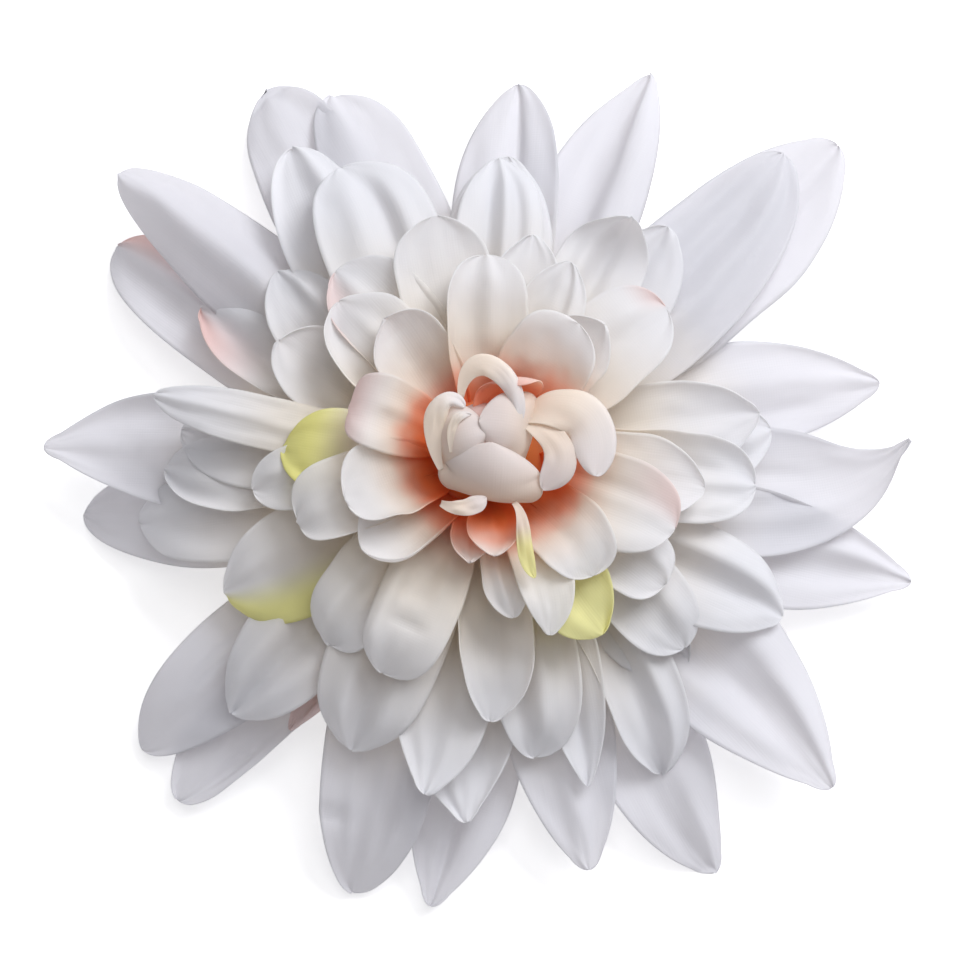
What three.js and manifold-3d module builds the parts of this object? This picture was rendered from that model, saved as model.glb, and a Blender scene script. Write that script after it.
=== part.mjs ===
// An open dahlia bloom, as picked, lying on the cut end of its stalk and facing up.
// Millimetres, +Z up. The origin is the middle of the stalk's cut end.
// Petals stand in seven rings on a pale core. A closed bud fills the middle, and green bracts hold the back.

import * as THREE from 'three';
import { mergeVertices } from 'three/addons/utils/BufferGeometryUtils.js';
import Module from 'manifold-3d';

const wasm = await Module();
wasm.setup();

// Driving dimensions
const petalThickness = 0.62;
const bractThickness = 0.9;
const seatGap = 0.32;
const roundSides = 20;
const bladeCellsAcross = 2;
const lowerRowShare = 0.45;

// The form that every petal shares. Angles are in degrees, and shares are of a petal's length or width.
const lineHold = 0.36;
const swellPower = 1.1;
const tipShare = 0.07;
const rollPower = 1.2;
const hollowEnd = 0.6;
const footHollow = 1.5;
const mostHollow = 70;
const archedFoot = 20;
const tipOpening = 0.2;
const leastBend = 0.1;
const ribFold = 3;
const pinchStart = 0.7;
const pinchPower = 1.5;

// The core that the petals grow from: radius and height of each turn of its profile
const coreProfile = [
  [0, 5.6], [9.6, 5.6], [12.6, 7.4], [13.4, 12], [12.8, 17], [12, 21],
  [11, 25.5], [10, 29], [8.6, 32], [0, 33.4],
];

// The bud: an egg that its wrapped petals hug, and the hollow that it stands in
const budCore = [
  [0, 33.3], [5.2, 33.3], [6.6, 35.8], [7.2, 39], [6.8, 42], [5, 44.6], [0, 46],
];
const budSeat = [
  [0, 32.98], [6.4, 32.98], [8.6, 34.6], [10, 38], [10.6, 42], [10.6, 51], [0, 51],
];

// The stalk's cut end and the green cup over it
const stalkRadius = 4.2;
const cupProfile = [
  [0, 0], [stalkRadius, 0], [stalkRadius, 1.6], [6.6, 2.6], [8.8, 4.0], [9.4, 5.2], [0, 5.2],
];

// Rings of petals, from the outside in. A ring has its cells along a blade, where its roots sit on the core,
// how steeply they rise, how wide the foot of a petal is beside its widest place, and how far along that lies.
// Each petal is one row, in millimetres and degrees: turn, reach, width, tip height, tip slope, cup, roll,
// bow, lean, tip roundness, tip pinch, root step.
const rings = {
  outerLow: {
    cells: 6, rootRadius: 9, rootHeight: 8, rise: 12, foot: 0.36, widest: 0.56,
    petals: [
      [68, 79, 20, 5, -16, 14, -8, 1, 0, 0.8, 12, -0.5],
      [44, 85, 24, 6, -8, 16, -6, -1, 0, 0.7, 12, 0.6],
      [14, 70, 19, 5, -10, 12, 6, 3, 0, 0.75, 10, -0.5],
      [-13, 75, 21, 5, -8, 12, 0, -1, 0, 0.85, 10, 0.4],
      [-61, 76, 20, 3, -14, 14, 0, 2, 0, 0.5, 8, -0.5],
      [-97, 73, 20, 4, -12, 18, 0, 3, 0, 0.8, 14, 0.5],
      [-134, 75, 18, 3, -12, 20, 8, 0, 0, 0.55, 20, -0.5],
      [-176, 69, 19, 4, -12, 14, 0, 3, 0, 0.55, 8, 0.5],
      [147, 78, 19, 4, -12, 16, 6, 2, 0, 0.55, 8, -0.5],
      [118, 81, 21, 4, -12, 14, 4, 1, 0, 0.5, 8, 0.5],
    ],
  },
  outerHigh: {
    cells: 6, rootRadius: 9, rootHeight: 11, rise: 22, foot: 0.36, widest: 0.56,
    petals: [
      [46, 77, 23, 11, -6, 10, 0, -2, 0, 0.62, 8, -0.6],
      [5, 73, 23, 14, 35, 12, 4, -3, 0, 1.0, 12, 0.6],
      [-42, 79, 25, 9, -6, 12, 0, 3, 0, 0.85, 10, -0.6],
      [-75, 69, 19, 9, -8, 14, 0, 1, 0, 0.72, 10, 0.6],
      [-106, 74, 21, 7, -14, 16, 0, -3, 0, 0.5, 6, -0.6],
      [-142, 74, 21, 9, -10, 14, 0, 0, 0, 0.5, 8, 0.6],
      [176, 75, 22, 10, -6, 14, 0, -1, 0, 0.9, 8, -0.6],
      [140, 82, 20, 11, -6, -16, 0, 0, 0, 0.6, 10, 0.6],
      [111, 73, 20, 10, -8, 12, 0, -2, 0, 0.5, 8, -0.8],
      [85, 70, 19, 11, -8, 14, 0, 0, 0, 0.6, 8, 0.8],
    ],
  },
  middleLow: {
    cells: 5, rootRadius: 9, rootHeight: 15, rise: 36, foot: 0.32, widest: 0.58,
    petals: [
      [79, 60, 8, 16, 4, 26, 0, 0, 0, 0.8, 20, -1.2],
      [120, 64, 17, 19, 6, 16, 0, 3, 0, 0.6, 8, 0.8],
      [86, 54, 18, 21, 8, 24, 0, 0, 0, 0.6, 10, 0.6],
      [53, 52, 17, 21, 10, 16, 0, -1, 0, 0.55, 12, 0],
      [7, 49, 19, 20, 2, 14, 0, 0, 0, 0.52, 6, -0.6],
      [-26, 54, 17, 19, -2, 18, 0, -2, 0, 0.8, 10, 0.8],
      [-45, 48, 16, 18, 2, 22, 0, 0, 0, 0.65, 10, -0.2],
      [-60, 60, 15, 15, -6, 26, 0, 3, 0, 0.6, 10, -1.4],
      [-78, 50, 19, 18, -4, 22, 0, 2, 0, 0.75, 12, 0.8],
      [-93, 60, 16, 14, -8, 18, 0, 0, 0, 0.8, 14, -1.4],
      [-102, 56, 15, 17, -6, 18, 0, 0, 0, 0.75, 14, 0],
      [-128, 59, 15, 13, -6, 16, 0, 1, 0, 0.65, 8, -1.4],
      [-134, 60, 18, 17, -4, 18, 0, 0, 0, 0.55, 8, 0.4],
      [-172, 59, 16, 16, -4, 18, 0, 2, 0, 0.6, 8, -0.6],
      [167, 57, 9, 19, 2, 26, 0, 2, 0, 0.7, 8, 0.8],
      [149, 57, 18, 17, 2, 18, 0, 1, 0, 0.6, 8, -0.6],
    ],
  },
  middleHigh: {
    cells: 5, rootRadius: 8.5, rootHeight: 19, rise: 48, foot: 0.32, widest: 0.6,
    petals: [
      [114, 57, 20, 27, 10, 18, 0, 2, 0, 0.7, 12, 0.8],
      [90, 53, 15, 27, 14, 30, 0, 0, 0, 0.6, 10, -0.6],
      [60, 50, 16, 28, 16, 20, 0, -1, 0, 0.65, 14, 0.4],
      [16, 47, 17, 26, 10, 18, 0, 0, 0, 0.58, 8, -0.8],
      [-8, 46, 17, 28, 8, 22, 0, 0, 0, 0.5, 6, 0.8],
      [-42, 47, 17, 26, 2, 26, 0, 2, 0, 0.55, 8, -0.6],
      [-72, 56, 12, 23, -6, 30, 0, 3, 0, 0.8, 12, 0.6],
      [-88, 44, 16, 28, 6, 40, 0, 1, 0, 0.7, 12, -0.2],
      [-115, 54, 19, 24, -2, 20, 0, -1, 0, 0.55, 8, 0.4],
      [-152, 49, 19, 25, -2, 22, 0, 1, 0, 0.55, 8, -0.6],
      [-176, 53, 14, 23, 4, 20, 0, 1, 0, 0.55, 8, -1.4],
      [173, 51, 14, 26, 6, 22, 0, 2, 0, 0.6, 8, 0.2],
      [136, 49, 15, 26, 14, 24, 0, 3, 0, 0.6, 8, -1.2],
      [150, 39, 15, 31, 20, 20, 0, 1, 0, 0.52, 4, 1.2],
    ],
  },
  innerLow: {
    cells: 5, rootRadius: 8, rootHeight: 22.8, rise: 58, foot: 0.34, widest: 0.62,
    petals: [
      [127, 40, 14, 34, 20, 26, 0, -1, 0, 0.6, 10, -1],
      [134, 35, 17, 37, 18, 26, 0, 0, 0, 0.6, 10, 1],
      [102, 41, 13, 35, 18, 26, 0, 0, 0, 0.5, 6, 0.4],
      [76, 38, 13, 35, 22, 26, 0, 0, 0, 0.65, 8, -0.8],
      [65, 35, 12, 37, 20, 24, 0, 0, 0, 0.6, 8, 0.6],
      [38, 41, 17, 34, 14, 26, 0, 0, 0, 0.5, 4, -0.8],
      [-9, 37, 15, 36, 18, 26, 0, 0, 0, 0.6, 6, 0.6],
      [-35, 37, 13, 33, 10, 22, 0, 0, 0, 0.5, 6, -0.8],
      [-56, 36, 13, 35, 10, 24, 0, 0, 0, 0.55, 8, 0.6],
      [-80, 28, 9, 38, 20, 30, 0, 0, 0, 0.55, 8, 0.6],
      [-171, 39, 12, 33, 14, 24, 0, 0, 0, 0.6, 8, -0.8],
      [173, 34, 15, 37, 14, 20, 0, 1, 0, 0.5, 6, 0.6],
      [-129, 40, 14, 33, 8, 30, 0, 0, 0, 0.55, 8, -0.8],
      [-115, 41, 17, 35, 6, 26, 0, 0, 0, 0.52, 8, 0.6],
    ],
  },
  innerMiddle: {
    cells: 5, rootRadius: 7.5, rootHeight: 26, rise: 64, foot: 0.36, widest: 0.64,
    petals: [
      [126, 26, 15, 40, 40, 30, 0, 0, 0, 0.5, 4, -0.4],
      [89, 32, 15, 40, 36, 36, 0, 0, 0, 0.52, 6, 0.4],
      [47, 29, 13, 39, 36, 30, 0, 0, 0, 0.52, 6, -0.8],
      [53, 25, 16, 42, 40, 34, 0, 0, 0, 0.52, 8, 0.8],
      [-22, 34, 16, 38, 16, 34, 0, 0, 0, 0.5, 6, -0.6],
      [-48, 29, 14, 40, 16, 34, 0, 1, 0, 0.5, 6, 0.6],
      [-69, 33, 10, 38, 4, 34, 0, 2, 0, 0.6, 8, -0.6],
      [-160, 33, 15, 39, 12, 32, 0, 0, 0, 0.52, 6, 0],
    ],
  },
  innerHigh: {
    cells: 5, rootRadius: 7, rootHeight: 29, rise: 66, foot: 0.38, widest: 0.66,
    petals: [
      [-140, 26, 14, 39, 20, 44, 0, 2, 0, 0.55, 6, -0.8],
      [-155, 24, 15, 42, 20, 44, 0, 0, 0, 0.55, 6, 0.6],
      [163, 24, 15, 43, 26, 34, 0, 0, 0, 0.5, 6, -0.2],
      [-72, 25, 5, 43, 6, 50, 0, 1, 0, 0.7, 8, 1],
      [-97, 20, 8, 39, 20, 40, 0, 0, 0, 0.6, 8, -0.8],
      [-83, 19, 10, 41, 20, 40, 0, 0, 0, 0.52, 8, 0.4],
      [2, 23, 14, 44, -20, 40, 0, 0, 0, 0.52, 4, -0.4],
      [-32, 17, 7, 44, -10, 40, 0, 2, 8, 0.6, 4, 1],
      [-121, 13, 6, 44, 10, 40, 0, 0, 6, 0.7, 4, 1.2],
    ],
  },
};

// The bud's own petals, in the same form: they rise, swell and close over the middle, with tips that lean inward
const budRing = {
  cells: 5, rootRadius: 5.4, rootHeight: 34.6, rise: 38, foot: 0.6, widest: 0.55,
  petals: [
    [-78, 3.6, 15, 47.4, 150, 50, 0, 0, 0, 0.5, 4, 0],
    [-8, 4.2, 14, 46.8, 148, 48, 0, 0, 0, 0.5, 4, 0.3],
    [-150, 3.4, 12, 47, 150, 48, 0, 0, 0, 0.5, 4, 0.5],
    [172, 7.4, 12, 47.6, 112, 54, 0, 0, 0, 0.52, 4, 0.2],
    [74, 8.6, 13, 48.6, 104, 58, 0, 0, 0, 0.5, 4, 0.2],
    [128, 3, 9, 47.2, 140, 50, 0, 0, 0, 0.55, 4, 0.6],
  ],
};

// Green bracts under the bloom: they spread flat below the outer petals
const bractCount = 8;
const bractTurn = 22;
const bracts = { cells: 5, rootRadius: 5, rootHeight: 3.4, rise: 6, foot: 0.6, widest: 0.45 };
const bractRow = [0, 21, 9, 2.4, -12, 10, 0, 0, 0, 0.7, 4, 0];

const petalFinish = new THREE.MeshStandardMaterial({ color: 0xf3f0ee, roughness: 0.62, metalness: 0 });
const budFinish = new THREE.MeshStandardMaterial({ color: 0xf0d5c4, roughness: 0.6, metalness: 0 });
const calyxFinish = new THREE.MeshStandardMaterial({ color: 0x7d9a4c, roughness: 0.65, metalness: 0 });

const radians = THREE.MathUtils.degToRad;

// A closed mesh becomes a solid once its shared corners are merged
function solidOf(geometry) {
  geometry.deleteAttribute('normal');
  geometry.deleteAttribute('uv');
  const merged = mergeVertices(geometry, 1e-4);
  const vertProperties = new Float32Array(merged.attributes.position.array);
  const triVerts = new Uint32Array(merged.index.array);
  return new wasm.Manifold(new wasm.Mesh({ numProp: 3, vertProperties, triVerts }));
}

// The largest body alone: hollows that fusing sealed are filled, and loose scraps are dropped
function wholeOf(solid) {
  const pieces = solid.decompose();
  pieces.sort((a, b) => b.volume() - a.volume());
  return pieces[0];
}

function meshOf(name, solid, material) {
  const { vertProperties, triVerts } = solid.getMesh();
  const geometry = new THREE.BufferGeometry();
  geometry.setAttribute('position', new THREE.BufferAttribute(vertProperties, 3));
  geometry.setIndex(new THREE.BufferAttribute(triVerts, 1));
  geometry.computeVertexNormals();
  const mesh = new THREE.Mesh(geometry, material);
  mesh.name = name;
  return mesh;
}

// A turned body stands on +Z, where a lathe turns round Y
function turned(profile) {
  const points = profile.map(([radius, height]) => new THREE.Vector2(radius, height));
  return solidOf(new THREE.LatheGeometry(points, roundSides).rotateX(Math.PI / 2));
}

// A step of a given length at an angle above level, in the upright plane of a petal
function towards(angle, length) {
  return new THREE.Vector3(length * Math.cos(radians(angle)), 0, length * Math.sin(radians(angle)));
}

// The line along the middle of a petal runs in the plane of its turn: x is outward, y to the side, z up
function middleLine(ring, [, reach, , height, slope, , , bow, lean, , , step]) {
  const root = new THREE.Vector3(ring.rootRadius, lean, ring.rootHeight + step);
  const tip = new THREE.Vector3(reach, 0, height);
  const hold = lineHold * Math.hypot(reach - root.x, height - root.z);
  const sideways = (share) => lean * share + bow * 4 / 3;
  const leaving = root.clone().add(towards(ring.rise, hold)).setY(sideways(2 / 3));
  const arriving = tip.clone().sub(towards(slope, hold)).setY(sideways(1 / 3));
  return new THREE.CubicBezierCurve3(root, leaving, arriving, tip);
}

// Half the width of a petal, from its foot (along = 0) through its widest place to its tip (along = 1)
function halfWidth(ring, width, roundness, along) {
  if (along < ring.widest) {
    const swell = Math.sin(Math.PI / 2 * along / ring.widest) ** swellPower;
    return width / 2 * (ring.foot + (1 - ring.foot) * swell);
  }
  const past = (along - ring.widest) / (1 - ring.widest);
  return width / 2 * Math.max((1 - past * past) ** roundness, tipShare);
}

// A petal is hollowed like a spoon, most at its foot, and opens a little towards its tip
function hollow(cup, along) {
  const foot = cup > 0 ? Math.min(cup * footHollow, mostHollow) : archedFoot;
  const towardsTip = Math.max((along - hollowEnd) / (1 - hollowEnd), 0);
  const fromFoot = Math.min(along / hollowEnd, 1);
  const bend = foot + (cup - foot) * fromFoot - tipOpening * cup * towardsTip;
  return radians(Math.abs(bend) < leastBend ? leastBend : bend);
}

// Rows of a blade lie evenly up to its widest place, and closer together towards the round of its tip
function rowsAlong(ring) {
  const lower = Math.round(ring.cells * lowerRowShare);
  const upper = ring.cells - lower;
  const rows = [];
  for (let i = 0; i < lower; i += 1) rows.push(ring.widest * i / lower);
  for (let j = 0; j <= upper; j += 1) {
    rows.push(ring.widest + (1 - ring.widest) * Math.sin(Math.PI / 2 * j / upper));
  }
  return rows;
}

// One place on a petal, with the direction that its upper face looks in
function placeOnPetal(ring, row, line, along, across, spare) {
  const [turn, , width, , , cup, roll, , , roundness, pinch] = row;
  const centre = line.getPoint(along);
  const forward = line.getTangent(along);
  const side = new THREE.Vector3(0, 1, 0).addScaledVector(forward, -forward.y).normalize();
  const up = new THREE.Vector3().crossVectors(forward, side);
  const tilt = radians(roll) * along ** rollPower;
  side.applyAxisAngle(forward, tilt);
  up.applyAxisAngle(forward, tilt);
  const half = halfWidth(ring, width, roundness, along) + spare;
  const bend = hollow(cup, along);
  const pinched = Math.max((along - pinchStart) / (1 - pinchStart), 0) ** pinchPower;
  const fold = radians(ribFold + (pinch - ribFold) * pinched) * Math.sign(across);
  const x = half * Math.sin(bend * across) / bend;
  const z = half * (1 - Math.cos(bend * across)) / bend;
  const foldedX = x * Math.cos(fold) - z * Math.sin(fold);
  const foldedZ = x * Math.sin(fold) + z * Math.cos(fold);
  const point = centre.clone().addScaledVector(side, foldedX).addScaledVector(up, foldedZ);
  const lean = bend * across + fold;
  const face = up.clone().multiplyScalar(Math.cos(lean)).addScaledVector(side, -Math.sin(lean));
  const vertical = new THREE.Vector3(0, 0, 1);
  point.applyAxisAngle(vertical, radians(turn));
  face.applyAxisAngle(vertical, radians(turn));
  return { point, face };
}

// A closed blade: an upper and a lower sheet, split into triangles alike, joined by a rim all round
function blade(ring, row, thickness, spare = 0) {
  const sheet = new THREE.PlaneGeometry(2, 1, bladeCellsAcross, ring.cells);
  const flat = sheet.attributes.position;
  const line = middleLine(ring, row);
  const rows = rowsAlong(ring);
  const upper = [];
  const lower = [];
  for (let i = 0; i < flat.count; i += 1) {
    const along = rows[Math.round((flat.getY(i) + 0.5) * ring.cells)];
    const { point, face } = placeOnPetal(ring, row, line, along, -flat.getX(i), spare);
    upper.push(...point.clone().addScaledVector(face, thickness / 2 + spare).toArray());
    lower.push(...point.clone().addScaledVector(face, -thickness / 2 - spare).toArray());
  }
  const faces = [];
  const cells = sheet.index.array;
  for (let i = 0; i < cells.length; i += 3) {
    faces.push(cells[i], cells[i + 1], cells[i + 2]);
    faces.push(cells[i] + flat.count, cells[i + 2] + flat.count, cells[i + 1] + flat.count);
  }
  const edge = edgeOf(bladeCellsAcross, ring.cells);
  edge.forEach((here, i) => {
    const next = edge[(i + 1) % edge.length];
    faces.push(next, here, here + flat.count);
    faces.push(next, here + flat.count, next + flat.count);
  });
  const geometry = new THREE.BufferGeometry();
  geometry.setAttribute('position', new THREE.Float32BufferAttribute([...upper, ...lower], 3));
  geometry.setIndex(faces);
  return solidOf(geometry);
}

// The corners round the edge of a plane's grid, anticlockwise seen from its face
function edgeOf(across, along) {
  const corner = (column, row) => row * (across + 1) + column;
  const loop = [];
  for (let row = 0; row < along; row += 1) loop.push(corner(0, row));
  for (let column = 0; column < across; column += 1) loop.push(corner(column, along));
  for (let row = along; row > 0; row -= 1) loop.push(corner(across, row));
  for (let column = across; column > 0; column -= 1) loop.push(corner(column, 0));
  return loop;
}

function closedBud() {
  const wraps = budRing.petals.map((row) => blade(budRing, row, petalThickness));
  return wholeOf(wasm.Manifold.union([turned(budCore), ...wraps]));
}

function greenBack(spare) {
  const grown = cupProfile.map(([radius, height]) => [radius > 0 ? radius + spare : 0, height]);
  grown[0][1] -= spare;
  grown[1][1] -= spare;
  grown[grown.length - 2][1] += spare;
  grown[grown.length - 1][1] += spare;
  const parts = [turned(grown)];
  for (let i = 0; i < bractCount; i += 1) {
    const row = [...bractRow];
    row[0] = bractTurn + 360 * i / bractCount;
    parts.push(blade(bracts, row, bractThickness, spare));
  }
  return wasm.Manifold.union(parts);
}

// Petals and core grown together, with the seats of the bud and of the green back cleared
function whitePetals() {
  const parts = [turned(coreProfile)];
  for (const ring of Object.values(rings)) {
    for (const row of ring.petals) parts.push(blade(ring, row, petalThickness));
  }
  const grown = wasm.Manifold.union(parts);
  return wholeOf(grown.subtract(turned(budSeat)).subtract(greenBack(seatGap)));
}

const dahlia = new THREE.Group();
dahlia.add(meshOf('bloom', whitePetals(), petalFinish));
dahlia.add(meshOf('bud', closedBud(), budFinish));
dahlia.add(meshOf('calyx', greenBack(0), calyxFinish));

export default dahlia;
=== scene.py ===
# %% [markdown]
# # An open dahlia bloom
# A dahlia is a nest of petals: broad flat ones lie at the outside, and each ring further in stands steeper
# and shorter, up to a bud that hasn't opened yet. A plain faceted model already holds the real sizes and
# says what carries what. This lesson puts a finer skin over it: thin soft petals, their folds and tints,
# and studio light.

# %% Load the plain model
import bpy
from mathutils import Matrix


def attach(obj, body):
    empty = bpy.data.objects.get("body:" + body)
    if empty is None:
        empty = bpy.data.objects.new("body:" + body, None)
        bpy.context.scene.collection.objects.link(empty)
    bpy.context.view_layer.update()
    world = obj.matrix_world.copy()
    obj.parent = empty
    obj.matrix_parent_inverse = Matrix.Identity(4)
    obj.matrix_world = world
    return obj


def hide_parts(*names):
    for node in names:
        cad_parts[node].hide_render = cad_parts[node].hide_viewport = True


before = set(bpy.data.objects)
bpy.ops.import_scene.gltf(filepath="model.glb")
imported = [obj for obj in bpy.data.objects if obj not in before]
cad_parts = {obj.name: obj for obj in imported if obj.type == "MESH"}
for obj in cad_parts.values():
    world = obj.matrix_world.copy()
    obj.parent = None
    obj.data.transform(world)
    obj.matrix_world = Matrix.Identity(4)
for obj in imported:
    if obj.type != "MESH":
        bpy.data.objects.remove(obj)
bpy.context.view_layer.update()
print("plain pieces:", sorted(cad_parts))

# %% [markdown]
# ## Tools and units
# bmesh makes and shapes meshes, mathutils turns and places points, and noise gives the small unevenness of
# grown things. The plain model is drawn in millimetres and Blender works in metres, so the numbers below
# stay in millimetres, which are easy to read, and are scaled once, at the end of each piece.

# %% Tools and units
import random
from collections import namedtuple
from math import cos, degrees, exp, hypot, pi, radians, sin

import bmesh
import bpy
from mathutils import Matrix, Vector, noise

MM = 0.001
print("one millimetre is", MM, "Blender units")

# %% [markdown]
# ## What describes a petal
# A dahlia could be grown by one spiral rule alone, but a real bloom is never that even: each petal is
# pushed aside by its neighbours. So the petals are listed one by one, in rings. A ring says how far out and
# how high its petals are rooted, how steeply they rise, how narrow their feet are, and where they are
# widest. A row says where a petal turns to, how far it reaches, how wide it is, how high its tip is and how
# it slopes, then how hollow it is, how it rolls and bows, how round and how pinched its tip is, and how far
# its root steps up or down from its ring. Sizes are in millimetres and angles in degrees.

# %% What describes a petal
Ring = namedtuple("Ring", "root_radius root_height rise foot widest petals")
Petal = namedtuple("Petal", "turn reach width height slope cup roll bow roundness pinch step")
RINGS = {}


def petal_count(*names):
    return sum(len(RINGS[name].petals) for name in names)


print("a petal is described by", len(Petal._fields), "numbers")

# %% [markdown]
# ## The outer petals
# The two lowest rings hold the broad long petals that make the bloom's outline. They leave the stalk almost
# level and lie out flat, one ring over the gaps of the other. A turn is counted anticlockwise from the
# right, as the bloom is seen from above.

# %% The outer petals
RINGS["outer_low"] = Ring(root_radius=9, root_height=8, rise=12, foot=0.36, widest=0.56, petals=[
    (68, 78.2, 20, 5, -16, 14, -36, 1, 0.75, 12, -0.5),
    (44, 85, 24, 6, -8, 16, -6, -1, 0.7, 12, 0.6),
    (14, 70, 19, 5, -10, 12, 6, 3, 0.75, 10, -0.5),
    (-13, 75, 21, 5, -8, 12, 0, -1, 0.85, 10, 0.4),
    (-61, 78.5, 20, 3, -14, 14, 0, 2, 0.7, 8, -0.5),
    (-97, 73, 20, 4, -12, 18, 0, 3, 0.8, 14, 0.5),
    (-134, 75, 18, 3, -12, 20, 8, 0, 0.55, 20, -0.8),
    (-176, 70, 19, 4, -12, 14, 0, 3, 0.55, 8, 0.5),
    (146, 78, 19, 4, -12, 16, 6, 2, 0.5, 8, -0.5),
    (118, 83, 20, 4, -12, 14, -8, 1, 0.5, 8, 0.5),
])
RINGS["outer_high"] = Ring(root_radius=9, root_height=11, rise=22, foot=0.36, widest=0.56, petals=[
    (46, 77, 23, 11, -6, 10, 0, -2, 0.56, 8, -0.6),
    (1, 75, 23, 12, 20, 12, 4, -4, 1.3, 12, 0.6),
    (-42, 79, 25, 9, -6, 12, 0, 3, 0.85, 10, -0.6),
    (-75, 69, 19, 9, -8, 14, 0, 1, 0.72, 10, 0.6),
    (-106, 75.5, 21, 7, -14, 16, 0, -3, 0.6, 6, -2),
    (-142, 76, 18.5, 8, -10, 14, 0, 0, 0.55, 8, 0.6),
    (176, 75, 22, 10, -6, 14, 0, -1, 0.9, 8, -0.6),
    (139, 82, 18.5, 11, -6, -14, 0, 0, 0.5, 10, 0.6),
    (111, 75.5, 18.5, 10, -8, 12, 0, -2, 0.5, 8, -0.8),
    (85, 70, 19, 11, -8, 14, -22, 0, 0.6, 8, 0.8),
])
print("outer petals:", petal_count("outer_low", "outer_high"))

# %% [markdown]
# ## The middle petals
# The petals of the next two rings are shorter, rise at a slant and fall open at their tips. Where they
# stand close, one hides half under its neighbour, and its root steps a little lower, so that the two don't
# cross.

# %% The middle petals
RINGS["middle_low"] = Ring(root_radius=9, root_height=15, rise=36, foot=0.32, widest=0.58, petals=[
    (79, 60, 8, 13.5, -4, 26, 0, 0, 0.8, 20, -1.2),
    (120, 65.5, 17, 16.5, -2, 16, 0, 3, 0.5, 8, 0.8),
    (86, 54, 18, 18.5, 0, 24, 0, 0, 0.75, 10, 0.6),
    (52, 52, 17, 18.5, 2, 16, 0, -1, 0.7, 12, 0),
    (7, 49, 19, 17.5, -6, 14, 0, 0, 0.67, 6, -0.6),
    (-25, 57, 17, 18.5, -10, 12, 0, -2, 0.75, 10, 0.8),
    (-45, 48, 16, 15.5, -6, 22, 0, 0, 0.65, 10, -0.2),
    (-58, 61, 15, 12.5, -14, 26, 0, 3, 0.75, 10, -1.4),
    (-79, 51, 16, 20, -14, 14, 0, 2, 0.6, 12, 0.8),
    (-94, 59, 20, 12.5, -16, 18, 0, 0, 0.8, 14, -1.4),
    (-99, 56, 17, 19.5, -8, 18, 0, 0, 0.75, 14, 0.6),
    (-128, 54, 9, 10.5, -14, 16, 0, 1, 0.8, 8, -1.4),
    (-136, 60.5, 18, 17, -16, 6, 0, 0, 0.7, 8, 0.4),
    (-172, 62, 16, 13.5, -12, 18, 0, 2, 0.75, 8, -0.6),
    (148, 57, 18, 14.5, -6, 18, 0, 1, 0.75, 8, -0.6),
])
RINGS["middle_high"] = Ring(root_radius=8.5, root_height=19, rise=48, foot=0.32, widest=0.6, petals=[
    (112, 58, 21, 24, 2, 18, 0, 2, 0.5, 12, 0.8),
    (86, 54, 15, 24, 6, 30, 0, 0, 0.75, 10, -0.6),
    (60, 50, 16, 25, 8, 20, 0, -1, 0.8, 14, 0.4),
    (10, 47, 17, 23, 2, 18, 0, 0, 0.73, 8, -0.8),
    (-5, 46, 17, 25, 0, 22, 0, 0, 0.5, 6, 0.8),
    (-43, 46, 15, 22, -6, 22, 0, 2, 0.52, 8, -0.6),
    (-72, 56, 12, 14.5, -14, 26, 0, 3, 0.8, 12, -2.4),
    (-88, 44, 16, 26.5, -2, 40, 0, 1, 0.7, 12, -0.2),
    (-115, 54, 19, 21, -14, 10, 0, -1, 0.7, 8, 0.4),
    (-152, 49, 19, 22, -10, 22, 0, 1, 0.7, 8, -0.6),
    (-179, 55, 14, 20, -4, 20, 0, 1, 0.7, 8, -1.4),
    (168, 57, 9, 26, -8, 10, 0, 2, 0.65, 8, 1.6),
    (174, 52.5, 14, 21, -4, 22, 0, 2, 0.75, 8, -0.2),
    (136, 49, 15, 23, 6, 24, 0, 3, 0.75, 8, -1.2),
    (150, 40, 15, 28, 12, 20, 0, 1, 0.52, 4, 1.2),
])
print("middle petals:", petal_count("middle_low", "middle_high"))

# %% [markdown]
# ## The inner petals
# Three small rings stand round the bud and cup towards it. The nearer they are to the bud, the steeper they
# rise and the shorter they are, so their tips form a bowl.

# %% The inner petals
RINGS["inner_low"] = Ring(root_radius=8, root_height=22.8, rise=58, foot=0.34, widest=0.62, petals=[
    (127, 40, 18, 31, 12, 26, 0, -1, 0.75, 10, -1),
    (134, 35, 17, 34, 10, 26, 0, 0, 0.75, 10, 1),
    (102, 41, 17, 32, 10, 26, 0, 0, 0.65, 6, 0.4),
    (76, 38, 13, 32, 14, 26, 0, 0, 0.8, 8, -0.8),
    (65, 35, 12, 34, 12, 24, 0, 0, 0.75, 8, 0.6),
    (41, 39.5, 17, 31, 6, 26, 0, 0, 0.5, 4, -0.8),
    (-9, 37, 15, 33, 10, 26, 0, 0, 0.75, 6, 0.6),
    (-35, 37, 13, 30, 2, 22, 0, 0, 0.5, 6, -0.8),
    (-58, 36, 14, 32, 0, 16, 0, 0, 0.7, 8, 0.6),
    (-80, 28, 9, 35, 12, 30, 0, 0, 0.7, 8, 0.6),
    (-173, 39, 12, 30, 6, 24, 0, 0, 0.6, 8, -0.8),
    (178, 34, 15, 34, 6, 20, 0, 1, 0.65, 6, 0.6),
    (-131, 42, 14, 30, -6, 10, 0, 0, 0.5, 8, -0.8),
    (-113, 41, 14, 32, -6, 12, 0, 0, 0.5, 8, 0.6),
])
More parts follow.
